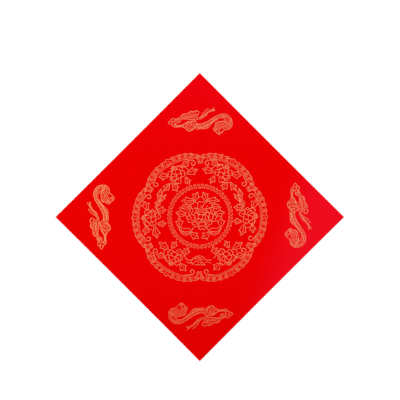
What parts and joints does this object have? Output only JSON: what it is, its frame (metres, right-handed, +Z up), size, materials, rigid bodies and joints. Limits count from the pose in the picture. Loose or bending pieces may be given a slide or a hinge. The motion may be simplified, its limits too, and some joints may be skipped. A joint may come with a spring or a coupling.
{
  "type": "festival paper square",
  "caption": "Flat square sheet of red festival paper, hung point up on a door or wall, printed in gold line work with a round flower medallion and corner dragons.",
  "frame": {"origin": "centre of the back face, the face that lies against a wall or door", "axes": "+Z up along the upright diagonal of the square, +X along the level diagonal, -Y out of the printed face, +Y into the wall"},
  "size_m": [0.4808, 0.0004, 0.4808],
  "materials": {
    "backing": "matte",
    "red_face": "matte",
    "gold_ink": "satin"
  },
  "bodies": {
    "root": {"backing_paper": "backing", "face_paper": "red_face", "border_outer_edge": "gold_ink", "border_scrollwork": "gold_ink", "border_inner_edge": "gold_ink", "border_volutes": "gold_ink", "ring_scrolls": "gold_ink", "centre_peony": "gold_ink", "centre_leaves": "gold_ink", "peony_right": "gold_ink", "peony_upper_right": "gold_ink", "peony_upper_left": "gold_ink", "peony_left": "gold_ink", "peony_lower_left": "gold_ink", "peony_lower_right": "gold_ink", "leaf_stem_upper_right": "gold_ink", "leaf_stem_upper_left": "gold_ink", "leaf_stem_bottom": "gold_ink", "dragon_top": "gold_ink", "dragon_right": "gold_ink", "dragon_bottom": "gold_ink", "dragon_left": "gold_ink"}
  },
  "joints": []
}
